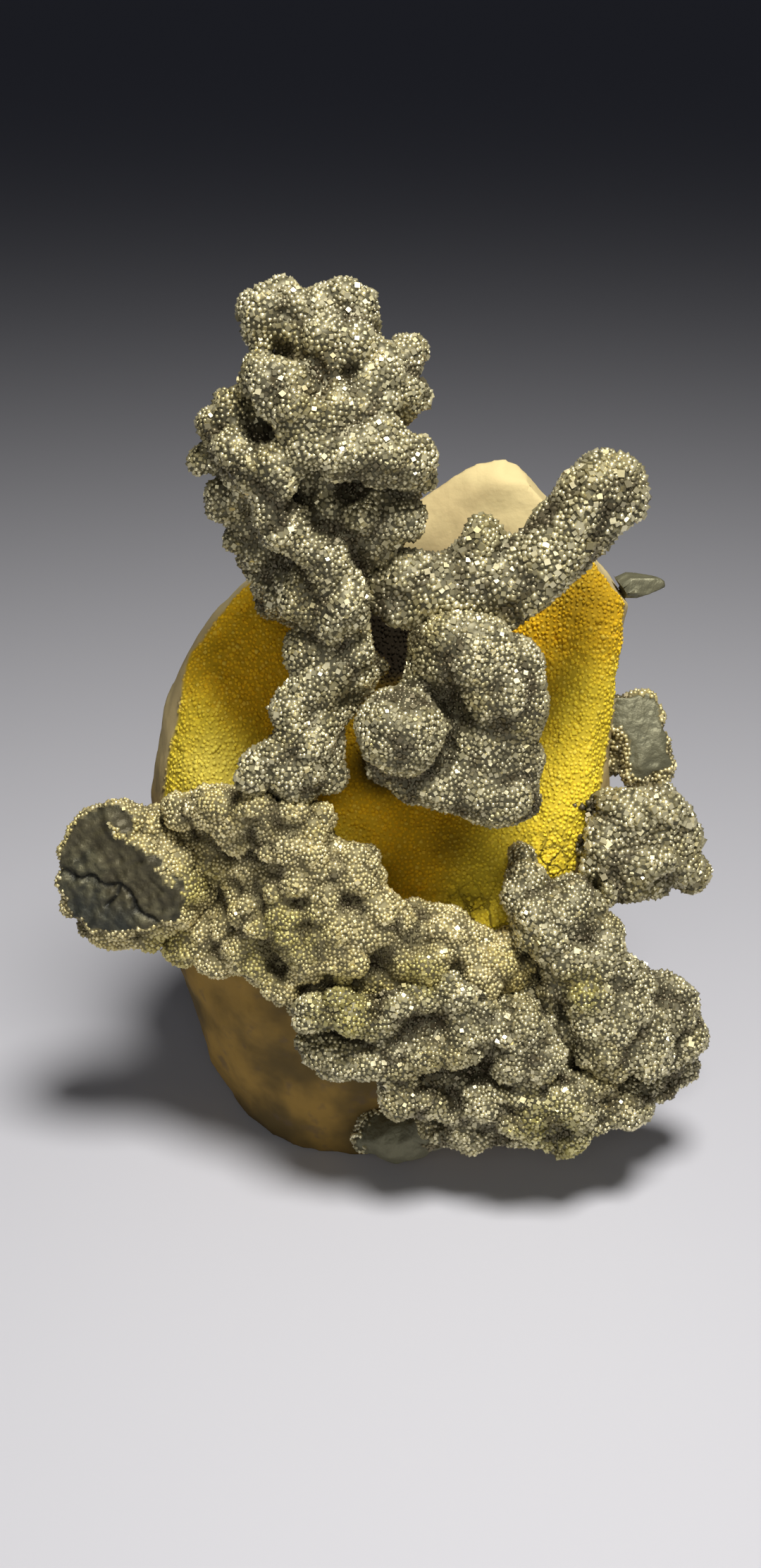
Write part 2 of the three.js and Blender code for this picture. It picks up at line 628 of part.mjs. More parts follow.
const specimen = new THREE.Group();
const stone = stoneSolids();
specimen.add(meshOf("ochre_stone", stone.solid.subtract(beyond(restingFlat)), ochre));

// Each growth is cut back by the stone and by the growths before it, and the crumbs of a cut are dropped.
const neighbours = [stone.swollen];
for (const [name, growth] of Object.entries(growths)) {
  const { solid, swollen } = growthSolids(growth);
  let cut = neighbours.reduce((rest, neighbour) => rest.subtract(neighbour), solid);
  if (growth === leftArm) cut = cut.subtract(beyond(armBreak));
  if (growth === sidePlate) cut = cut.subtract(beyond(plateBreak));
  if (growth === crust) cut = cut.subtract(growthSolids(crustPits).solid);
  const largest = cut.decompose().sort((a, b) => b.volume() - a.volume())[0];
  specimen.add(meshOf(name, largest, pyrite));
  neighbours.push(swollen);
}

// The origin goes under the middle of the specimen.
const middle = new THREE.Box3().setFromObject(specimen).getCenter(new THREE.Vector3());
specimen.position.set(-middle.x, -middle.y, 0);

export default specimen;
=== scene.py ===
# %% [markdown]
# # A pyrite specimen
#
# A mass of pyrite has grown in lobes and ledges over the lip of a hollow ochre stone. Its solids come
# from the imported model. They have the right outline and the main lobes, but none of the crystals, so each
# solid is replaced here by a finer piece of the same form.

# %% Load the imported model
import math

import bmesh
import bpy
import numpy as np
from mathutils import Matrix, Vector
from mathutils.bvhtree import BVHTree


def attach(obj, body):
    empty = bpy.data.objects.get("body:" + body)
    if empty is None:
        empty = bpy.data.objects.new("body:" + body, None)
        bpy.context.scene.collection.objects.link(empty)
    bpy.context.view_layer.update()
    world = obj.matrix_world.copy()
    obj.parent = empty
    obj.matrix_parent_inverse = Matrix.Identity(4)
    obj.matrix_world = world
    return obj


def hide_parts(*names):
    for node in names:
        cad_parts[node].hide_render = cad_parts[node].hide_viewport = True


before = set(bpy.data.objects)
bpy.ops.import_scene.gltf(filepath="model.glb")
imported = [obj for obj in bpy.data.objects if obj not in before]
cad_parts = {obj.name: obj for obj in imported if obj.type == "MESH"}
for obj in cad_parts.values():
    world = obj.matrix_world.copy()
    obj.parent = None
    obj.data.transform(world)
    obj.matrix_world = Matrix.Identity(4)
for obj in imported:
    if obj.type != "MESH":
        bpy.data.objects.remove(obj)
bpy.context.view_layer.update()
scene = bpy.context.scene
MM = 0.001  # metres in a millimetre
print("solids:", sorted(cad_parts))

# %% [markdown]
# ## An even ground for the crystals
#
# A solid's facets are long and uneven, so they can't bend or carry fine detail. Subdividing them would
# keep their uneven lengths. A voxel remesh lays an even skin of small faces over the solid instead, and a
# few rounds of smoothing take off the facets' edges. Every growth and the stone start from such a skin.

# %% A smooth, even copy of a solid
WELD = 0.001  # corners this close, in mm, are one corner
SOFTNESS = 0.5


def linked(name, mesh):
    """A new object in the scene, at the origin."""
    made = bpy.data.objects.new(name, mesh)
    scene.collection.objects.link(made)
    return made


def evaluated(worker, name):
    """What an object's modifiers make of it, as a plain mesh. The object itself is removed."""
    depsgraph = bpy.context.evaluated_depsgraph_get()
    mesh = bpy.data.meshes.new_from_object(worker.evaluated_get(depsgraph))
    mesh.name = name
    bpy.data.objects.remove(worker)
    return mesh


def even_skin(node, voxel, rounds):
    """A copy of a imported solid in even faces, its edges softened by rounds of smoothing."""
    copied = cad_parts[node].data.copy()
    work = bmesh.new()
    work.from_mesh(copied)
    bmesh.ops.remove_doubles(work, verts=work.verts, dist=WELD * MM)
    work.to_mesh(copied)
    work.free()
    worker = linked(node + "_work", copied)
    even = worker.modifiers.new("Even faces", "REMESH")
    even.mode = "VOXEL"
    even.voxel_size = voxel * MM
    soft = worker.modifiers.new("Soft edges", "SMOOTH")
    soft.factor = SOFTNESS
    soft.iterations = rounds
    return evaluated(worker, node + "_skin")


# %% [markdown]
# ## Measuring a skin
#
# A finish needs to know where it is on the form: in a crease or on a crest, near a certain spot, or
# turned to a certain side. All of that is worked out here on plain arrays in millimetres, one row a
# vertex. What the nodes and materials need of it is stored on the mesh as an attribute.


# %% Reading and writing a mesh's numbers
def places(mesh):
    values = np.empty(len(mesh.vertices) * 3)
    mesh.vertices.foreach_get("co", values)
    return values.reshape(-1, 3) / MM


def outward(mesh):
    """Which way each vertex faces."""
    values = np.empty(len(mesh.vertices) * 3)
    mesh.vertex_normals.foreach_get("vector", values)
    return values.reshape(-1, 3)


def move_to(mesh, points):
    mesh.vertices.foreach_set("co", (points * MM).ravel())
    mesh.update()


def store(mesh, name, values):
    """Keeps one number for each vertex, for the nodes to read."""
    mesh.attributes.new(name, "FLOAT", "POINT").data.foreach_set("value", values.astype(np.float32))


# %% Soft steps, soft spots and creases
def ramp(values, low, high):
    """0 at low, 1 at high, and a soft step between."""
    share = np.clip((values - low) / (high - low), 0, 1)
    return share * share * (3 - 2 * share)


def near(points, spots):
    """Soft round spots: each is a place and a radius in mm, and the value is 1 at its middle."""
    found = np.zeros(len(points))
    for place, radius in spots:
        found = np.maximum(found, np.exp(-np.sum((points - place) ** 2, axis=1) / radius**2))
    return found


def relaxed(mesh, points, rounds):
    """The points, or any rows of numbers, each moved rounds times towards the middle of its neighbours."""
    pairs = np.empty(len(mesh.edges) * 2, int)
    mesh.edges.foreach_get("vertices", pairs)
    here, there = pairs.reshape(-1, 2).T
    count = np.bincount(pairs, minlength=len(points))[:, None]
    for _ in range(rounds):
        total = np.empty_like(points)
        for axis in range(points.shape[1]):
            from_here = np.bincount(there, points[here, axis], len(points))
            from_there = np.bincount(here, points[there, axis], len(points))
            total[:, axis] = from_here + from_there
        points = 0.5 * points + 0.5 * total / count
    return points


def crease_depth(mesh, rounds):
    """How far each vertex lies below a smoother skin: over 0 in a crease, under 0 on a crest."""
    points = places(mesh)
    return np.einsum("ij,ij->i", relaxed(mesh, points, rounds) - points, outward(mesh))


# %% [markdown]
# ## Feet and flats
#
# The pyrite grew on the stone, with no gap between them, while the solids keep a hair's gap so that each
# stays a body of its own. A boolean union would close it, but it would also join the pieces. It is
# simpler to look up the nearest point of the stone for each vertex beside it, and to draw the vertex on
# into the stone. A flat is made in the same manner: whatever lies beyond a plane is pushed back onto it.

# %% Rooting a growth and cutting a flat
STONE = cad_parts["ochre_stone"].data
STONE_SURFACE = BVHTree.FromPolygons(
    [vertex.co for vertex in STONE.vertices], [face.vertices for face in STONE.polygons]
)
ROOT_REACH = 0.8  # how close to the stone, in mm, a growth is taken to stand on it
ROOT_DEPTH = 0.3  # how far its foot then sinks in


def rooted(points):
    """The points, with those beside the stone drawn on into it."""
    drawn = points.copy()
    for index, point in enumerate(points):
        place, _, _, distance = STONE_SURFACE.find_nearest(Vector(point) * MM, ROOT_REACH * MM)
        if place is not None and distance > 0:
            foot = np.array(place) / MM
            drawn[index] = foot + (foot - point) * ROOT_DEPTH * MM / distance
    return drawn


def cut_flat(points, place, way):
    """The points, with those beyond the plane through place that faces way pushed back onto it."""
    way = np.array(way) / np.linalg.norm(way)
    beyond = np.maximum((points - place) @ way, 0)
    return points - beyond[:, None] * way


print("stone to root in:", len(STONE.polygons), "faces")

# %% [markdown]
# ## Crystals
#
# The real surface is a druse: a closed crust of crystals about half a millimetre across, each half sunk
# among its neighbours. A bump map could hint at them, but their outline would stay smooth and none would
# catch the light on its own. Modelled one by one they would be tens of thousands. Geometry Nodes scatter
# them instead: points are spread evenly over the skin, a crystal is set on each, and the result is made
# real, because the export keeps no instances. The same nodes grow the stone's granular coat.


# %% A helper for every node tree
def add_node(tree, kind, inputs=(), **settings):
    """A node with its settings, and each of its inputs given a value or joined to an output."""
    node = tree.nodes.new(kind)
    for name, value in settings.items():
        setattr(node, name, value)
    for key, value in dict(inputs).items():
        if isinstance(value, bpy.types.NodeSocket):
            tree.links.new(value, node.inputs[key])
        else:
            node.inputs[key].default_value = value
    return node


class Nodes:
    """Short names for the node kinds that the druse uses most."""

    def __init__(self, tree):
        self.tree = tree

    def make(self, kind, inputs=(), out=0, **settings):
        return add_node(self.tree, kind, inputs, **settings).outputs[out]

    def math(self, operation, *values):
        return self.make("ShaderNodeMath", enumerate(values), operation=operation)

    def vector(self, operation, *values):
        return self.make("ShaderNodeVectorMath", enumerate(values), operation=operation)

    def scaled(self, vector, factor):
        return self.make("ShaderNodeVectorMath", {0: vector, "Scale": factor}, operation="SCALE")

    def noise(self, place, scale, detail, out=0):
        return self.make("ShaderNodeTexNoise", {"Vector": place, "Scale": scale, "Detail": detail}, out)

    def attribute(self, name, kind="FLOAT"):
        return self.make("GeometryNodeInputNamedAttribute", {"Name": name}, data_type=kind)

    def stored(self, geometry, name, value, kind, domain):
        inputs = {"Geometry": geometry, "Name": name, "Value": value}
        return self.make("GeometryNodeStoreNamedAttribute", inputs, data_type=kind, domain=domain)

    def random(self, kind, low, high, seed):
        node = add_node(self.tree, "FunctionNodeRandomValue", {"Seed": seed}, data_type=kind)
        lowest, highest = [one for one in node.inputs if one.enabled][:2]
        lowest.default_value = low
        highest.default_value = high
        return next(one for one in node.outputs if one.enabled)


# %% The nodes' inputs
DRUSE_INPUTS = {
    "Knob size": "Float",  # across, in metres, as every size here
    "Knob height": "Float",
    "Swell": "Float",  # height of the slow swells
    "Grain size": "Float",
    "Spacing": "Float",
    "Tilt": "Float",  # how far a grain may lean, in radians
    "Blocky": "Float",  # share of the grains that are sharp cubes, and the rest are rounded
    "Seed": "Int",
    "Grown": "Material",  # of the grains and of the skin under them
    "Bare": "Material",  # of the bare faces
}


def set_inputs(modifier, **values):
    """Gives a Geometry Nodes modifier its inputs by name. They are kept under the sockets' identifiers."""
    sockets = {
        one.name.lower().replace(" ", "_"): one
        for one in modifier.node_group.interface.items_tree
        if one.in_out == "INPUT"
    }
    for name, value in values.items():
        modifier[sockets[name].identifier] = value


print("druse inputs:", ", ".join(DRUSE_INPUTS))

# %% [markdown]
# ## Knobs and furrows
#
# Between the lobes and the crystals the real pyrite has a middle size: round knobs 2 or 3 mm across, with
# furrows where they meet. They could be sculpted one by one, but a Voronoi texture has that very shape:
# each cell gets a dome, highest at the cell's own point and lowest where it meets its neighbours. The
# distance is kept as the attribute furrow, so that the material can paint shade between the knobs.

# %% The nodes that lift the skin
WOBBLE_SCALE = 450.0
WOBBLE_REACH = 1.2 * MM  # how far noise sways the knobs, so that none is quite round
DOME_TOP = 0.25  # a knob comes down to the skin half a cell from its middle, and its furrow lies below
SWELL_SCALE = 300.0
FADE_FROM, FADE_TO = 0.3 * MM, 2 * MM  # heights over the floor where lifting starts and is whole
RAGGED_SCALE = 900.0
RAGGED_REACH = 0.9  # how strongly noise frays the edge of a bare face


def lifted_skin(n, given):
    """Knobs where the attribute grown is high, slow swells everywhere, and nothing next to the floor."""
    place = n.make("GeometryNodeInputPosition")
    normal = n.make("GeometryNodeInputNormal")
    wobble = n.noise(place, WOBBLE_SCALE, 2.0, out=1)
    swayed = n.vector("ADD", place, n.scaled(wobble, WOBBLE_REACH))
    scale = n.math("DIVIDE", 1.0, given["Knob size"])
    cells = n.make("ShaderNodeTexVoronoi", {"Vector": swayed, "Scale": scale}, feature="F1")
    domed = n.math("SUBTRACT", DOME_TOP, n.math("POWER", cells, 2.0))
    knobs = n.math("MULTIPLY", n.math("MULTIPLY", domed, given["Knob height"]), n.attribute("grown"))
    slow = n.math("SUBTRACT", n.noise(place, SWELL_SCALE, 4.0), 0.5)
    swells = n.math("MULTIPLY", slow, given["Swell"])
    height = n.make("ShaderNodeSeparateXYZ", {0: place}, out=2)
    off_floor = n.make("ShaderNodeMapRange", {0: height, 1: FADE_FROM, 2: FADE_TO})
    lift = n.math("MULTIPLY", n.math("ADD", knobs, swells), off_floor)
    lifted = {"Geometry": given["Geometry"], "Offset": n.scaled(normal, lift)}
    moved = n.make("GeometryNodeSetPosition", lifted)
    smooth = n.make("GeometryNodeSetShadeSmooth", {"Geometry": moved, "Shade Smooth": True})
    smooth = n.stored(smooth, "furrow", cells, "FLOAT", "POINT")
    ragged = n.math("SUBTRACT", n.noise(place, RAGGED_SCALE, 2.0), 0.5)
    edge = n.math("ADD", n.attribute("grown"), n.math("MULTIPLY", ragged, RAGGED_REACH))
    bare = n.make("FunctionNodeCompare", {0: edge, 1: 0.5}, operation="LESS_THAN")
    return n.stored(smooth, "bare", bare, "BOOLEAN", "FACE")


# %% [markdown]
# ## A grain on every point
#
# Two shapes are enough. A sharp cube flashes with a whole face at once, and the rounded form beside it
# gives the small steady glints of the rest. Both have few faces, because there are so many of them. Each
# grain leans and turns by its own random amount, and carries a number, tone, from which the material
# takes its brightness.

# %% The two shapes
CUBE_EDGE = 0.84  # of a grain's size
ROUNDED_SCALE = 1.75  # brings the rounded form, which lies inside the cube, up to a grain's size


def grain_shapes(n):
    """A sharp cube, then a rounded eight-sided form. Joining puts the last one first."""
    cube = n.make("GeometryNodeMeshCube", {"Size": (CUBE_EDGE,) * 3})
    rounded = n.make("GeometryNodeDualMesh", {"Mesh": cube})
    rounded = n.make("GeometryNodeTransform", {"Geometry": rounded, "Scale": (ROUNDED_SCALE,) * 3})
    shapes = n.tree.nodes.new("GeometryNodeJoinGeometry")
    for shape, smooth in ((rounded, True), (cube, False)):
        edged = n.make("GeometryNodeSetShadeSmooth", {"Geometry": shape, "Shade Smooth": smooth})
        whole = n.make("GeometryNodeGeometryToInstance", {"Geometry": edged})
        n.tree.links.new(whole, shapes.inputs[0])
    return shapes.outputs[0]


# %% Spreading, sizing and turning them
DENSEST = 3.0e7  # points tried in a square metre, far more than the spacing leaves
SMALLEST, SIZE_RANGE = 0.75, 0.4  # of the grain size
RARE, RARE_EXTRA = 12.0, 0.35  # the power that keeps large grains rare, and how much larger they are
SUNK = -0.12  # of a grain's own size, along the normal
TONES = (0.15, 1.0)


def grains_on(n, given, skin):
    """Grains on every face of the skin that isn't bare."""

    def seed(step):
        return n.math("ADD", given["Seed"], step)

    covered = n.make("FunctionNodeBooleanMath", {0: n.attribute("bare", "BOOLEAN")}, operation="NOT")
    spread = {"Mesh": skin, "Selection": covered, "Distance Min": given["Spacing"]}
    spread.update({"Density Max": DENSEST, "Seed": given["Seed"]})
    scatter = add_node(
        n.tree, "GeometryNodeDistributePointsOnFaces", spread, distribute_method="POISSON"
    ).outputs
    # Most grains are near one size, and a few are much larger.
    chance = n.random("FLOAT", 0.0, 1.0, seed(1))
    few = n.math("MULTIPLY", n.math("POWER", chance, RARE), RARE_EXTRA)
    size = n.math("ADD", n.math("MULTIPLY_ADD", chance, SIZE_RANGE, SMALLEST), few)
    size = n.math("MULTIPLY", size, given["Grain size"])
    sunk = n.scaled(scatter["Normal"], n.math("MULTIPLY", size, SUNK))
    points = n.make("GeometryNodeSetPosition", {"Geometry": scatter["Points"], "Offset": sunk})
    # Each leans a little from the skin and has its own spin.
    most = n.make("ShaderNodeCombineXYZ", {0: given["Tilt"], 1: given["Tilt"], 2: math.pi})
    lean = n.vector("MULTIPLY", n.random("FLOAT_VECTOR", (-1, -1, -1), (1, 1, 1), seed(2)), most)
    lean = {0: scatter["Rotation"], 1: n.make("FunctionNodeEulerToRotation", {0: lean})}
    turn = n.make("FunctionNodeRotateRotation", lean, rotation_space="LOCAL")
    drawn = {0: n.random("FLOAT", 0.0, 1.0, seed(3)), 1: given["Blocky"]}
    which = n.make("FunctionNodeCompare", drawn, operation="GREATER_THAN")
    setting = {"Points": points, "Instance": grain_shapes(n), "Pick Instance": True}
    setting.update({"Instance Index": which, "Rotation": turn, "Scale": size})
    grains = n.make("GeometryNodeInstanceOnPoints", setting)
    return n.stored(grains, "tone", n.random("FLOAT", *TONES, seed(4)), "FLOAT", "INSTANCE")


# %% [markdown]
# ## The whole tree
#
# The lifted skin stays under the grains and closes the gaps between them. It has no tone, which reads as
# 0, and the materials paint shade on it from that. Set Material comes last, once for what is grown over
# and once for bare faces.


# %% Putting the tree together
def druse_tree():
    tree = bpy.data.node_groups.new("Crystal druse", "GeometryNodeTree")
    socket = tree.interface.new_socket
    socket("Geometry", in_out="INPUT", socket_type="NodeSocketGeometry")
    for name, kind in DRUSE_INPUTS.items():
        socket(name, in_out="INPUT", socket_type="NodeSocket" + kind)
    socket("Geometry", in_out="OUTPUT", socket_type="NodeSocketGeometry")
    given = tree.nodes.new("NodeGroupInput").outputs
    n = Nodes(tree)
    skin = lifted_skin(n, given)
    joined = tree.nodes.new("GeometryNodeJoinGeometry")
    tree.links.new(grains_on(n, given, skin), joined.inputs[0])
    tree.links.new(skin, joined.inputs[0])
    real = n.make("GeometryNodeRealizeInstances", {"Geometry": joined.outputs[0]})
    covered = n.make("GeometryNodeSetMaterial", {"Geometry": real, "Material": given["Grown"]})
    bare = {"Geometry": covered, "Selection": n.attribute("bare", "BOOLEAN"), "Material": given["Bare"]}
    finished = n.make("GeometryNodeSetMaterial", bare)
    tree.links.new(finished, tree.nodes.new("NodeGroupOutput").inputs[0])
    return tree


druse = druse_tree()
print("druse nodes:", len(druse.nodes))


# %% Using the tree on a skin
def covered_with_grains(name, skin, **inputs):
    """The finished mesh object that the druse nodes make of a skin."""
    worker = linked(name + "_work", skin)
    nodes = worker.modifiers.new("Druse", "NODES")
    nodes.node_group = druse
    set_inputs(nodes, **inputs)
    return linked(name, evaluated(worker, name))


def triangles(piece):
    return sum(len(face.vertices) - 2 for face in piece.data.polygons)


# %% [markdown]
# ## Finishes from node groups
#
# The finishes share two effects, and each is a node group, built once and given other values in each
# material. Mottle is a noise with a soft edge, for stains, patches and fine grain. Crystal colours is the
# look of a druse, for both kinds of pyrite. A group puts out only masks, colours and values, and the
# shader stays in the material.


# %% Helpers for the shaders
def new_material(name):
    material = bpy.data.materials.new(name)
    material.use_nodes = True
    tree = material.node_tree
    tree.nodes.clear()
    shader = tree.nodes.new("ShaderNodeBsdfPrincipled")
    out = tree.nodes.new("ShaderNodeOutputMaterial")
    tree.links.new(shader.outputs[0], out.inputs[0])
    return material, tree, shader


def new_group(name, inputs, outputs):
    """An empty node group for materials, with what it is given and what it puts out."""
    group = bpy.data.node_groups.new(name, "ShaderNodeTree")
    for way, sockets in (("INPUT", inputs), ("OUTPUT", outputs)):
        for socket, kind in sockets.items():
            group.interface.new_socket(socket, in_out=way, socket_type="NodeSocket" + kind)
    given = group.nodes.new("NodeGroupInput").outputs
    return group, given, group.nodes.new("NodeGroupOutput").inputs


def blended(tree, share, low, high):
    """One colour turning into another."""
    node = add_node(tree, "ShaderNodeMix", data_type="RGBA")
    for socket, value in zip((node.inputs[0], node.inputs[6], node.inputs[7]), (share, low, high)):
        if isinstance(value, bpy.types.NodeSocket):
            tree.links.new(value, socket)
        else:
            socket.default_value = value if isinstance(value, float) else (*value, 1)
    return node.outputs[2]


def mapped(tree, value, low, high, to_low=0.0, to_high=1.0):
    """A value taken from one range to another, with soft ends."""
    inputs = {0: value, 1: low, 2: high, 3: to_low, 4: to_high}
    return add_node(tree, "ShaderNodeMapRange", inputs, interpolation_type="SMOOTHSTEP").outputs[0]


def noise(tree, scale, detail):
    place = add_node(tree, "ShaderNodeTexCoord").outputs["Object"]
    inputs = {"Vector": place, "Scale": scale, "Detail": detail}
    return add_node(tree, "ShaderNodeTexNoise", inputs).outputs[0]


def kept(tree, name):
    """An attribute that was stored on the mesh."""
    return add_node(tree, "ShaderNodeAttribute", attribute_name=name).outputs["Fac"]


def set_bump(tree, shader, height, strength, distance):
    """Fine relief that only bends the light. The distance is in mm."""
    inputs = {"Height": height, "Strength": strength, "Distance": distance * MM}
    tree.links.new(add_node(tree, "ShaderNodeBump", inputs).outputs[0], shader.inputs["Normal"])


# %% The group for patches and grain
PATCHES = (170.0, 3.0)  # scale and detail of the patches on every pyrite


def mottle_group():
    sizes = {name: "Float" for name in ("Scale", "Detail", "From", "To", "Strength")}
    group, given, made = new_group("Mottle", sizes, {"Mask": "Float"})
    spots = noise(group, given["Scale"], given["Detail"])
    mask = mapped(group, spots, given["From"], given["To"], 0.0, given["Strength"])
    group.links.new(mask, made["Mask"])
    return group


mottle = mottle_group()


def mottled(tree, scale, detail, low, high, strength=1.0):
    """A mask of noise: 0 where the noise is under low, and strength where it is over high."""
    values = {"Scale": scale, "Detail": detail, "From": low, "To": high, "Strength": strength}
    return add_node(tree, "ShaderNodeGroup", values, node_tree=mottle).outputs["Mask"]


print("mottle nodes:", len(mottle.nodes))

# %% [markdown]
# ## The pyrite's finish
#
# Pyrite is a metal to the eye: pale brass where it is clean, grey and dull where it is tarnished. Base
# Color gives a metal its tint, and Roughness how wide each glint spreads. A crystal's own tone moves
# both, so that neighbours don't match, and the skin between the crystals is painted a good deal darker as
# shade. Creases are painted dark and brown as shade. The attribute tint marks the few places that are
# stained yellow-green.

# %% The group for crystal colours
CRYSTAL_INPUTS = {
    "Clean": "Color",
    "Dull": "Color",
    "Stain": "Color",
    "Stained": "Float",  # where the stain is, as a mask
    "Roughness": "Float",
}
GREEN_STAIN = (0.50, 0.44, 0.10)
CREASE_SHADE_COLOUR = (0.05, 0.04, 0.02)
FURROW_SHADE_COLOUR = (0.08, 0.062, 0.034)
BLACK = (0.0, 0.0, 0.0)
GAP_SHADE_SHARE = 0.33  # how bright the skin between the crystals is beside the dull ones, painted dark as shade
DULL_ROUGHER, CLEAN_SMOOTHER = 0.2, -0.04


def crystal_group():
    outputs = {"Colour": "Color", "Roughness": "Float"}
    group, given, made = new_group("Crystal colours", CRYSTAL_INPUTS, outputs)
    tone = kept(group, "tone")
    body = blended(group, mapped(group, tone, 0.2, 1.0), given["Dull"], given["Clean"])
    body = blended(group, given["Stained"], body, given["Stain"])
    body = blended(group, mapped(group, kept(group, "tint"), 0.1, 1.0, 0.0, 0.6), body, GREEN_STAIN)
    # painted shade in the creases, darkest where the skin lies deepest below a smoother one
    body = blended(group, mapped(group, kept(group, "crease"), 0.0, 0.8, 0.0, 0.9), body, CREASE_SHADE_COLOUR)
    # painted shade in the furrows between the knobs
    body = blended(group, mapped(group, kept(group, "furrow"), 0.45, 0.8, 0.0, 0.85), body, FURROW_SHADE_COLOUR)
    # painted shade on the skin between the crystals, which has tone 0
    gap = blended(group, GAP_SHADE_SHARE, BLACK, given["Dull"])
    body = blended(group, mapped(group, tone, 0.0, 0.12), gap, body)
    group.links.new(body, made["Colour"])
    change = mapped(group, tone, 0.1, 1.0, DULL_ROUGHER, CLEAN_SMOOTHER)
    rough = add_node(group, "ShaderNodeMath", {0: change, 1: given["Roughness"]}, operation="ADD")
    group.links.new(rough.outputs[0], made["Roughness"])
    return group


crystal_colours = crystal_group()
print("crystal colour nodes:", len(crystal_colours.nodes))


# %% The two kinds of pyrite
def pyrite_material(name, clean, dull, stain, roughness):
    material, tree, shader = new_material(name)
    values = {"Clean": (*clean, 1), "Dull": (*dull, 1), "Stain": (*stain, 1), "Roughness": roughness}
    values["Stained"] = mottled(tree, *PATCHES, 0.46, 0.68, 0.6)
    crystals = add_node(tree, "ShaderNodeGroup", values, node_tree=crystal_colours).outputs
    tree.links.new(crystals["Colour"], shader.inputs["Base Color"])
    tree.links.new(crystals["Roughness"], shader.inputs["Roughness"])
    shader.inputs["Metallic"].default_value = 0.62
    set_bump(tree, shader, noise(tree, scale=2600.0, detail=2.0), strength=0.3, distance=0.05)
    return material


bright_pyrite = pyrite_material(
    "bright_pyrite",
    clean=(0.90, 0.82, 0.52),
    dull=(0.35, 0.315, 0.18),
    stain=(0.38, 0.32, 0.13),
    roughness=0.3,
)
dull_pyrite = pyrite_material(
    "dull_pyrite",
    clean=(0.92, 0.81, 0.46),
    dull=(0.60, 0.52, 0.26),
    stain=(0.60, 0.50, 0.17),
    roughness=0.42,
)
print("finishes:", bright_pyrite.name, dull_pyrite.name)

# %% [markdown]
# ## Broken faces
#
# The left arm and the side plate end in old breaks, the back stub is bare rock, and the ledges have a
# bare patch at their foot. A break through pyrite shows no crystals. It is a dull grey-green face, so it
# has a finish of its own. The arm's break is darker than the others, which the attribute pale lightens.

# %% The broken faces' finish
BREAK_GRAIN = (900.0, 4.0)  # scale and detail
BREAK_DARK, BREAK_LIGHT = (0.035, 0.034, 0.02), (0.155, 0.142, 0.078)
BREAK_BROWN = (0.085, 0.07, 0.035)
BREAK_PALE = (0.165, 0.158, 0.095)
BREAK_SHADE = (0.035, 0.038, 0.032)
BREAK_CRACK = (0.02, 0.02, 0.016)


def fracture_material():
    material, tree, shader = new_material("broken_pyrite")
    body = blended(tree, mottled(tree, *BREAK_GRAIN, 0.35, 0.68), BREAK_DARK, BREAK_LIGHT)
    body = blended(tree, mottled(tree, *PATCHES, 0.42, 0.6, 0.6), body, BREAK_BROWN)
    body = blended(tree, mapped(tree, kept(tree, "pale"), 0.0, 1.0, 0.0, 0.85), body, BREAK_PALE)
    # painted shade on the lower left of the arm's break
    body = blended(tree, mapped(tree, kept(tree, "shade"), 0.2, 1.0, 0.0, 0.75), body, BREAK_SHADE)
    body = blended(tree, kept(tree, "crack"), body, BREAK_CRACK)
    tree.links.new(body, shader.inputs["Base Color"])
    shader.inputs["Metallic"].default_value = 0.5
    shader.inputs["Roughness"].default_value = 0.55
    set_bump(tree, shader, noise(tree, *BREAK_GRAIN), strength=0.9, distance=0.35)
    return material


broken_pyrite = fracture_material()
print("finish:", broken_pyrite.name)

# %% [markdown]
# ## The left arm's break
#
# The arm shows its inside: faint rays that spread from the middle, as pyrite grows in a stalactite, a
# long crack with a branch, and a raised rim at the upper right. They could be painted or bumped, but the
# crack casts a real shadow, so they are pressed into the skin itself, along the way the face looks. The
# rays are sine waves of the angle round the middle, and a crack is whatever lies close to a bent line.

# %% Where the break, its cracks and its rim are
ARM_FACE = np.array([-25.4, -10.9, 31.3])  # a point on the broken face, in mm
ARM_WAY = np.array([-0.18, -0.95, 0.24])
ARM_WAY /= np.linalg.norm(ARM_WAY)
ARM_EDGE_X = (-26, -21)  # between these the break runs on round the arm's right side
ARM_EDGE_FACING = (0.93, 0.72)  # how nearly a vertex has to face the break's way, at each of the two
ARM_EDGE_DEPTH = (-0.6, -1.8)  # and how far behind the face it may lie, in mm
EDGE_SOFT, DEPTH_SOFT = 0.05, 0.4  # how much more of each makes a vertex wholly part of the face
FACE_ROUNDS = 25
ARM_CRACKS = (  # x and z in mm
    ((-31, 33.8), (-28, 33.4), (-25, 32.8), (-23.4, 30.9), (-22.5, 29.9), (-20.5, 29.4)),
    ((-25.4, 32.6), (-26.5, 31.2)),
)
ARM_RIDGE = ((-26, 38.5), (-22.5, 36), (-19.5, 32.5))
# painted shade on the lower left of the arm's break
ARM_SHADE = (((-29.5, -11, 30), 3.5), ((-26, -11, 29), 3))  # each a place and a radius in mm
CRACK_WIDTH, CRACK_WANDER = 0.22, 0.25  # in mm, as the depths and heights in the next line
RAY_DEPTH, CRACK_DEPTH, RIDGE_HEIGHT, LUMP_HEIGHT = 0.08, 0.5, 0.45, 0.12
RIM_KEPT = 0.5
RAY_FULL = 4  # how far from the middle, in mm, the rays reach their full depth


def to_line(points, bends):
    """How far each x and z lies from a bent line."""
    nearest = np.full(len(points), np.inf)
    for start, end in zip(np.array(bends[:-1]), np.array(bends[1:])):
        along = np.clip((points - start) @ (end - start) / np.sum((end - start) ** 2), 0, 1)
        away = points - start - along[:, None] * (end - start)
        nearest = np.minimum(nearest, np.linalg.norm(away, axis=1))
    return nearest


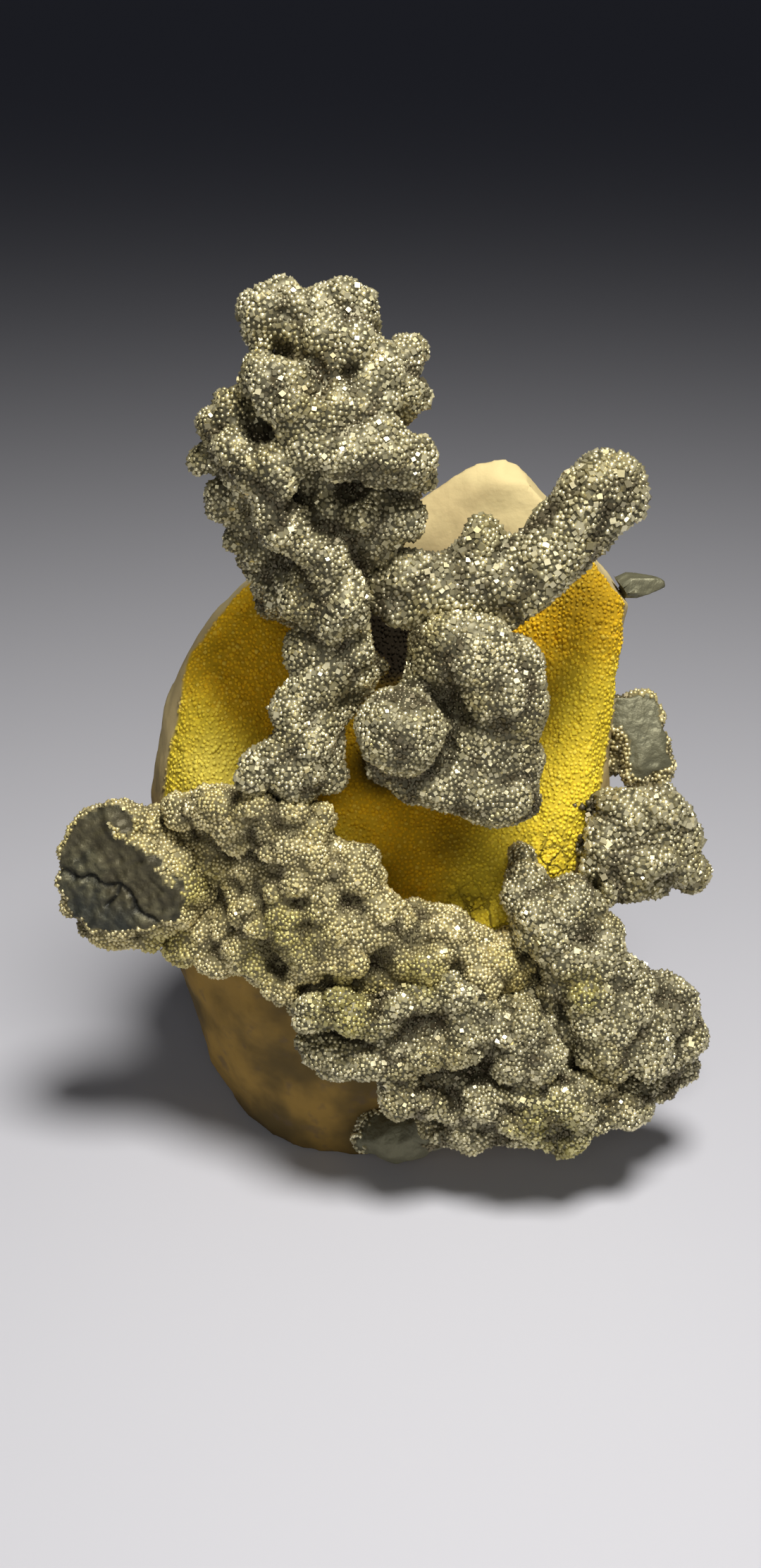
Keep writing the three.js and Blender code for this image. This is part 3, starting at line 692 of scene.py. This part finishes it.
# %% The relief of the arm's face
def arm_facing(mesh, points):
    """How much each vertex belongs to the broken face, with a soft edge."""
    edge = np.interp(points[:, 0], ARM_EDGE_X, ARM_EDGE_FACING)
    depth = np.interp(points[:, 0], ARM_EDGE_X, ARM_EDGE_DEPTH)
    facing = ramp(outward(mesh) @ ARM_WAY, edge, edge + EDGE_SOFT)
    facing *= ramp((points - ARM_FACE) @ ARM_WAY, depth, depth + DEPTH_SOFT)
    return relaxed(mesh, facing[:, None], FACE_ROUNDS)[:, 0]


def arm_rays(flat):
    """Waves that spread from the face's middle, broken up by finer ones, in mm."""
    x, z = flat.T
    across = flat - ARM_FACE[[0, 2]]
    angle = np.arctan2(across[:, 1], across[:, 0])
    reach = np.linalg.norm(across, axis=1)
    rays = np.sin(7 * angle + 0.9 * reach) + 0.8 * np.sin(17 * angle - 1.3 * reach)
    rays += 0.8 * np.sin(3 * x + np.sin(2.1 * z)) * np.sin(2.6 * z)
    return RAY_DEPTH * rays * np.minimum(reach / RAY_FULL, 1)


def break_arm(mesh):
    points = places(mesh)
    facing = arm_facing(mesh, points)
    flat = points[:, [0, 2]]
    x, z = flat.T
    wander = CRACK_WANDER * np.sin(2.3 * flat[:, ::-1])
    cracked = np.zeros(len(points))
    for line in ARM_CRACKS:
        cracked = np.maximum(cracked, np.exp(-((to_line(flat + wander, line) / CRACK_WIDTH) ** 2)))
    ridge = np.exp(-(to_line(flat, ARM_RIDGE) ** 2))
    lumps = np.sin(4.1 * x + 2 * np.sin(1.7 * z)) * np.sin(3.7 * z + x)
    depth = arm_rays(flat) + CRACK_DEPTH * cracked - RIDGE_HEIGHT * ridge - LUMP_HEIGHT * lumps
    move_to(mesh, points - (facing * depth)[:, None] * ARM_WAY)
    store(mesh, "crack", cracked * facing)
    store(mesh, "shade", near(points, ARM_SHADE))
    # The upper part of the rim keeps some of its crystals.
    return facing - RIM_KEPT * ridge * (z > ARM_FACE[2] + 1)


# %% [markdown]
# ## The other bare places
#
# The side plate's solid already has its flat break, so the bare face is simply what faces the break's
# way. The back stub is a chip with flat sides, and planes cut it out of its rounder solid. The patch on
# the ledges is two soft spots. A growth that isn't broken gets zeros, so that all of them can be handled
# alike.

# %% The side plate, the stub and the ledges
PLATE_WAY = np.array([0.05, -0.87, 0.48])
PLATE_WAY /= np.linalg.norm(PLATE_WAY)
PLATE_FACING = (0.86, 0.95)  # how nearly a vertex faces that way where the bare face starts and is whole
PLATE_SPREAD = 1.3  # takes the bare face right up to its rim
RIM_ROUNDS = 3
BARE_SPOTS = (((0.5, -13.9, 5), 4.5), ((4, -14, 4), 3))  # each a place and a radius in mm
STUB_CUTS = (  # a place in mm, and the way the plane faces
    ((24.0, 9, 54.7), (0.36, 0, -0.93)),
    ((24.0, 9, 57.0), (0.05, 0, 1)),
    ((27.3, 9, 56.5), (1, 0, 0.15)),
    ((25.0, 8.3, 56), (0.15, -0.95, 0.2)),
)


def break_plate(mesh):
    facing = ramp(outward(mesh) @ PLATE_WAY, *PLATE_FACING)
    return relaxed(mesh, facing[:, None], RIM_ROUNDS)[:, 0] * PLATE_SPREAD


def break_stub(mesh):
    points = places(mesh)
    for cut in STUB_CUTS:
        points = cut_flat(points, *cut)
    move_to(mesh, points)
    return np.ones(len(points))


def bare_patch(mesh):
    return near(places(mesh), BARE_SPOTS)


def unbroken(mesh):
    return np.zeros(len(mesh.vertices))


# %% [markdown]
# ## Growing each part of the pyrite
#
# Every growth goes through the same steps with its own sizes, so the sizes are kept together and one
# function does the work. The finger and the right lobe carry the largest crystals, and the crust over the
# lip and the left arm the finest and dullest.

# %% Each growth's sizes, finish and break
GROWTHS = {
    # node: grain size and spacing in mm, knob size and height in mm, finish, where it is broken
    "pyrite_tower": (0.44, 0.36, 2.8, 1.5, bright_pyrite, unbroken),
    "pyrite_finger": (0.56, 0.44, 3.2, 1.0, bright_pyrite, unbroken),
    "pyrite_nodules": (0.44, 0.36, 3.0, 0.8, bright_pyrite, unbroken),
    "pyrite_crust": (0.38, 0.31, 2.3, 1.6, dull_pyrite, unbroken),
    "pyrite_ledges": (0.44, 0.36, 2.8, 1.8, bright_pyrite, bare_patch),
    "pyrite_right_clump": (0.44, 0.36, 2.8, 1.8, bright_pyrite, unbroken),
    "pyrite_right_lobe": (0.58, 0.45, 3.2, 1.8, bright_pyrite, unbroken),
    "pyrite_left_arm": (0.38, 0.33, 2.4, 1.4, dull_pyrite, break_arm),
    "pyrite_side_plate": (0.46, 0.38, 2.0, 1.0, dull_pyrite, break_plate),
    "pyrite_back_stub": (0.44, 0.38, 2.0, 0.4, dull_pyrite, break_stub),
}
SKIN_VOXEL = 0.42  # in mm
BROKEN_VOXEL = 0.25  # finer, for the edge and the relief of a bare face
SKIN_ROUNDS = 4
CREASE_ROUNDS = 30  # at that voxel, and more on a finer skin
CREASE_FROM, CREASE_TO = -0.03, 0.28  # depths in mm
PYRITE_SWELL = 0.35  # in mm
PYRITE_TILT = 30  # in degrees
BLOCKY_BRIGHT, BLOCKY_DULL = 0.3, 0.12
TINTED = (  # yellow-green stains, each a place and a radius in mm
    ((-18, -11, 33), 3),
    ((-9, -16, 31), 4),
    ((-12, -15, 27), 3),
    ((-4, -18, 24), 4),
    ((3, -17, 27), 3),
    ((15, -20, 12), 4),
    ((17, -18.5, 7.5), 4),
    ((18, -17, 25), 2.5),
    ((-21, -9, 26), 3),
    ((9, -18, 4), 3),
)


# %% Grow them
def grow(node, seed):
    grain, spacing, knob, height, finish, breaking = GROWTHS[node]
    voxel = SKIN_VOXEL if breaking is unbroken else BROKEN_VOXEL
    skin = even_skin(node, voxel, SKIN_ROUNDS)
    broken = breaking(skin)
    move_to(skin, rooted(places(skin)))
    store(skin, "grown", 1 - broken)
    rounds = round(CREASE_ROUNDS * (SKIN_VOXEL / voxel) ** 2)
    # how deep each vertex lies in a crease, for the painted shade there
    store(skin, "crease", ramp(crease_depth(skin, rounds), CREASE_FROM, CREASE_TO))
    store(skin, "tint", near(places(skin), TINTED))
    store(skin, "pale", np.full(len(broken), 0.0 if breaking is break_arm else 1.0))
    grown = covered_with_grains(
        node + "_druse",
        skin,
        knob_size=knob * MM,
        knob_height=height * MM,
        swell=PYRITE_SWELL * MM,
        grain_size=grain * MM,
        spacing=spacing * MM,
        tilt=math.radians(PYRITE_TILT),
        blocky=BLOCKY_BRIGHT if finish is bright_pyrite else BLOCKY_DULL,
        seed=10 * seed,
        grown=finish,
        bare=broken_pyrite,
    )
    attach(grown, "root")
    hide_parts(node)
    return grown


for seed, node in enumerate(GROWTHS, 1):
    grown = grow(node, seed)
    print(grown.name, triangles(grown), "triangles")

# %% [markdown]
# ## The ochre stone
#
# The stone is soft, yellow iron ore. Its outside is smooth and tan, and the hollow is coated with a
# granular ochre, orange at the top and bright yellow at the foot. The coat is real relief: the same nodes
# that grow the crystals set round grains on it. Where the coat ends is found from the hollow's own form,
# which is an ellipsoid scooped out of the stone, and on the left slab from which way the stone faces.

# %% The hollow's form
HOLLOW_MIDDLE = np.array([1.85, -10.97, 60])  # in mm
HOLLOW_RADII = np.array([25, 22, 34])  # in mm
HOLLOW_LEAN = math.radians(14)


def hollow_share(points):
    """How far out each point is in the hollow's ellipsoid: under 1 inside it, 1 on its skin."""
    cosine, sine = math.cos(HOLLOW_LEAN), math.sin(HOLLOW_LEAN)
    turn = np.array([[1, 0, 0], [0, cosine, -sine], [0, sine, cosine]])
    return np.linalg.norm((points - HOLLOW_MIDDLE) @ turn.T / HOLLOW_RADII, axis=1)


# %% The stone's skin, and where it is coated
STONE_VOXEL = 0.55  # in mm
FRONT_WAY = np.array([0.31, -0.86, 0.4])
COAT_FACING = (0.25, 0.5)  # how nearly the left slab faces that way where its coat starts and is whole
LEFT_FOOT = (30, 34)  # heights in mm between which the left slab's coat begins
COAT_RIM = (1.14, 1.2)  # shares of the hollow between which the right slab's coat ends
COAT_SPLIT = (11, 14)  # x in mm between which the coat's top rises
COAT_TOPS = (58, 62)  # heights in mm over which the hollow is uncoated, under the peak and right of it
TOP_SOFT = 0.8  # in mm, to each side of the coat's top
HOLLOW_SKIN = 1.04  # the share of the hollow that still counts as its skin
skin = even_skin("ochre_stone", STONE_VOXEL, SKIN_ROUNDS)
points = places(skin)
share = hollow_share(points)
left_coat = ramp(outward(skin) @ FRONT_WAY, *COAT_FACING) * ramp(points[:, 2], *LEFT_FOOT)
right_coat = 1 - ramp(share, *COAT_RIM)
coat_top = np.interp(points[:, 0], COAT_SPLIT, COAT_TOPS)
below_peak = 1 - ramp(points[:, 2], coat_top - TOP_SOFT, coat_top + TOP_SOFT)
coat = np.where(points[:, 0] < 0, np.maximum(left_coat, share < HOLLOW_SKIN), right_coat) * below_peak
coat = relaxed(skin, coat[:, None], RIM_ROUNDS)[:, 0]
store(skin, "grown", coat)
print("coated share:", round(float(coat.mean()), 2))

# %% Where it is yellow, painted with shade, cracked and fresh
COLOUR_X = (-18, 3, 18)  # x in mm, and the next two lines are the heights that belong to each
ORANGE_ABOVE = (54, 31, 60)
YELLOW_BELOW = (43, 21, 42)
# Each of the spots is a place and a radius in mm.
BRIGHT_SPOTS = (((-17, -3, 41), 4), ((11.7, 9.9, 62), 1.2))
CRACKED_SPOTS = (((8, -9, 27.5), 4), ((15.5, -5.5, 33), 3))
# painted deep shade in the hollow's dark cavities
DEEP_SHADE_SPOTS = (((0, 9, 51), 9), ((-0.5, 3, 39.5), 3.5))
# painted shadows on the slabs' tops and under the nodules
SHADED_SPOTS = (((-10, 8, 58), 3), ((19, 5.5, 57), 7), ((6, -2.3, 33.2), 3.5))
SHADE = 0.48  # how dark the painted shadows are beside the painted deep shade
FRESH_FROM, FRESH_TO = 33, 44  # heights in mm between which the old, brown outside turns fresh tan
high = np.interp(points[:, 0], COLOUR_X, ORANGE_ABOVE)
low = np.interp(points[:, 0], COLOUR_X, YELLOW_BELOW)
store(skin, "yellow", 1 - ramp((points[:, 2] - low) / (high - low), 0, 1))
store(skin, "bright", near(points, BRIGHT_SPOTS))
store(skin, "painted_shade", np.maximum(near(points, DEEP_SHADE_SPOTS), SHADE * near(points, SHADED_SPOTS)))
store(skin, "cracked", near(points, CRACKED_SPOTS))
store(skin, "fresh", ramp(points[:, 2], FRESH_FROM, FRESH_TO))
print("attributes on the stone:", [one.name for one in skin.attributes if not one.name.startswith(".")])

# %% [markdown]
# ## The ochre's finish
#
# One material serves the whole stone. The attributes say where the coat is and how yellow it is there,
# and noise breaks up every edge, since an earth's colours run into each other. At its foot the coat has
# dried and cracked. Its cracks are the edges of Voronoi cells whose places noise has bent, so that they
# don't run straight.

# %% The ochre's colours
ORANGE, YELLOW, PALE_YELLOW = (0.88, 0.53, 0.014), (0.82, 0.64, 0.045), (0.76, 0.65, 0.11)
# grains lighter and darker at random; the dark colour also paints shade on the skin between the grains
LIGHT_GRAIN, DARK_GRAIN_AND_GAP_SHADE = (0.85, 0.70, 0.12), (0.22, 0.13, 0.01)
CRACK_BROWN = (0.05, 0.028, 0.004)
FRESH_TAN, LIGHT_TAN = (0.50, 0.39, 0.19), (0.58, 0.47, 0.23)
OLD_DARK, OLD_BROWN, OLD_GREY = (0.11, 0.075, 0.026), (0.30, 0.185, 0.045), (0.12, 0.085, 0.05)
PAINTED_SHADE_COLOUR = (0.012, 0.008, 0.003)
BROAD = (110.0, 4.0)  # scale and detail of three noises
MIDDLE = (420.0, 3.0)
FINE = (1300.0, 3.0)
CRACK_BEND = 0.0016  # in metres
CRACK_SCALE = 560.0
CRACK_EDGE = 0.1  # how wide a crack is, as a share of a cell


def coat_cracks(tree):
    """A net of cracks, 1 in their middle, where the attribute cracked is high."""
    place = add_node(tree, "ShaderNodeTexCoord").outputs["Object"]
    bend = {0: noise(tree, *MIDDLE), 1: (CRACK_BEND,) * 3, 2: place}
    bent = add_node(tree, "ShaderNodeVectorMath", bend, operation="MULTIPLY_ADD").outputs[0]
    cells = {"Vector": bent, "Scale": CRACK_SCALE}
    edge = add_node(tree, "ShaderNodeTexVoronoi", cells, feature="DISTANCE_TO_EDGE").outputs["Distance"]
    crack = {0: mapped(tree, edge, CRACK_EDGE, 0.0), 1: kept(tree, "cracked")}
    return add_node(tree, "ShaderNodeMath", crack, operation="MULTIPLY").outputs[0]


# %% The ochre's material
def ochre_material():
    material, tree, shader = new_material("ochre")
    tone = kept(tree, "tone")
    wavy = {0: noise(tree, *BROAD), 1: 0.7, 2: kept(tree, "yellow")}
    wavy = add_node(tree, "ShaderNodeMath", wavy, operation="MULTIPLY_ADD").outputs[0]
    coat = blended(tree, mapped(tree, wavy, 0.35, 1.35), ORANGE, YELLOW)
    coat = blended(tree, mapped(tree, kept(tree, "bright"), 0.0, 1.0, 0.0, 0.8), coat, PALE_YELLOW)
    coat = blended(tree, mapped(tree, tone, 0.7, 1.0, 0.0, 0.4), coat, LIGHT_GRAIN)
    # darker grains at random, and painted shade on the skin between the grains, whose tone is 0
    coat = blended(tree, mapped(tree, tone, 0.4, 0.0, 0.0, 0.4), coat, DARK_GRAIN_AND_GAP_SHADE)
    crack = coat_cracks(tree)
    coat = blended(tree, crack, coat, CRACK_BROWN)
    fresh = blended(tree, mottled(tree, *BROAD, 0.4, 0.62), FRESH_TAN, LIGHT_TAN)
    old = blended(tree, mottled(tree, *BROAD, 0.36, 0.62), OLD_DARK, OLD_BROWN)
    old = blended(tree, mottled(tree, *MIDDLE, 0.55, 0.72, 0.6), old, OLD_GREY)
    plain = blended(tree, kept(tree, "fresh"), old, fresh)
    body = blended(tree, mapped(tree, kept(tree, "grown"), 0.25, 0.75), plain, coat)
    # painted shade: deep in the cavities, lighter where shadows fall on the coat
    body = blended(tree, mapped(tree, kept(tree, "painted_shade"), 0.1, 0.85), body, PAINTED_SHADE_COLOUR)
    tree.links.new(body, shader.inputs["Base Color"])
    shader.inputs["Roughness"].default_value = 0.85
    shader.inputs["Specular IOR Level"].default_value = 0.15
    height = {0: noise(tree, *FINE), 1: crack}
    height = add_node(tree, "ShaderNodeMath", height, operation="SUBTRACT").outputs[0]
    set_bump(tree, shader, height, strength=0.5, distance=0.15)
    return material


ochre = ochre_material()
print("finish:", ochre.name)

# %% [markdown]
# ## Building the stone
#
# The peak at the back is split off flat on three sides, which the rounder solid doesn't show, so planes
# cut it. The coat's grains are small, lean far and are mostly round, because ochre is a powder and not a
# crystal.

# %% Build the stone
PEAK_CUTS = (  # a place in mm, and the way the plane faces
    ((8.0, 12.0, 68.2), (0.0, 0.1, 1.0)),
    ((2.0, 12.0, 66.4), (-0.5, 0.0, 0.85)),
    ((14.0, 11.0, 65.6), (0.75, 0.0, 0.65)),
)
for cut in PEAK_CUTS:
    points = cut_flat(points, *cut)
move_to(skin, points)
stone = covered_with_grains(
    "ochre_stone_coated",
    skin,
    knob_size=0.9 * MM,
    knob_height=0.4 * MM,
    swell=0.8 * MM,
    grain_size=0.36 * MM,
    spacing=0.37 * MM,
    tilt=math.radians(60),
    blocky=0.15,
    seed=5,
    grown=ochre,
    bare=ochre,
)
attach(stone, "root")
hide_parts("ochre_stone")
print("stone:", triangles(stone), "triangles")

# %% [markdown]
# ## The floor
#
# The specimen stands on a plain pale floor.

# %% The floor
FLOOR_COLOUR = (0.54, 0.54, 0.575, 1)
FLOOR_REACH = 20.0  # in metres
FLOOR_BACK = 80.0


def floor_material():
    material, tree, shader = new_material("floor")
    shader.inputs["Base Color"].default_value = FLOOR_COLOUR
    shader.inputs["Roughness"].default_value = 0.7
    return material


floor_mesh = bpy.data.meshes.new("floor")
floor_corners = [(-FLOOR_REACH, -FLOOR_REACH, 0), (FLOOR_REACH, -FLOOR_REACH, 0)]
floor_corners += [(FLOOR_REACH, FLOOR_BACK, 0), (-FLOOR_REACH, FLOOR_BACK, 0)]
floor_mesh.from_pydata(floor_corners, [], [(0, 1, 2, 3)])
floor_mesh.materials.append(floor_material())
floor = linked("floor", floor_mesh)
print("floor:", len(floor_mesh.vertices), "corners")

# %% [markdown]
# ## The lights
#
# One soft lamp hangs over the specimen, a little to the right, and a weak, wide one fills from the front.
# Metal shows what it reflects, so the room behind is kept dark: a facet that doesn't face a light then
# stays dark, and the druse glitters. The lamp is close, so the floor falls off into the dark.

# %% Lamp, fill and room
LIGHTS = {
    # name: place and target in metres, size in metres, power in watts, colour
    "lamp": ((0.038, -0.09, 0.28), (0, -0.01, 0.03), 0.09, 1.06, (1.0, 0.98, 0.95)),
    "fill": ((-0.05, -0.50, 0.24), (0, 0, 0.04), 0.40, 0.62, (1.0, 0.99, 0.97)),
}
ROOM_COLOUR = (0.018, 0.019, 0.024, 1)

for name, (place, target, size, watts, colour) in LIGHTS.items():
    data = bpy.data.lights.new(name, "AREA")
    data.shape = "DISK"
    data.size = size
    data.energy = watts
    data.color = colour
    light = bpy.data.objects.new(name, data)
    light.location = place
    light.rotation_euler = (Vector(target) - Vector(place)).to_track_quat("-Z", "Y").to_euler()
    scene.collection.objects.link(light)
    print(name, "at", place)

world = bpy.data.worlds.new("room")
scene.world = world
world.use_nodes = True
world.node_tree.nodes["Background"].inputs[0].default_value = ROOM_COLOUR
world.node_tree.nodes["Background"].inputs[1].default_value = 1.0
scene.view_settings.view_transform = "Standard"

# %% [markdown]
# ## The camera
#
# It looks down by 25 degrees from close by. Its lens follows from how many pixels of the frame a thing
# covers for its size and distance.

# %% The camera
PIXELS_PER_UNIT_DEPTH = 2400  # pixels that a thing as wide as it is far away covers
FRAME_HEIGHT = 2224
SENSOR = 36
CAMERA_PLACE = (-0.00075, -0.15097, 0.109)
CAMERA_TURN = 65  # in degrees up from straight down
camera_data = bpy.data.cameras.new("camera")
camera_data.sensor_fit = "AUTO"
camera_data.sensor_width = SENSOR
camera_data.lens = PIXELS_PER_UNIT_DEPTH / FRAME_HEIGHT * SENSOR
camera_data.clip_start = 0.01
camera = bpy.data.objects.new("camera", camera_data)
camera.location = CAMERA_PLACE
camera.rotation_euler = (math.radians(CAMERA_TURN), 0, 0)
scene.collection.objects.link(camera)
scene.camera = camera
print("lens:", round(camera_data.lens, 1), "mm")
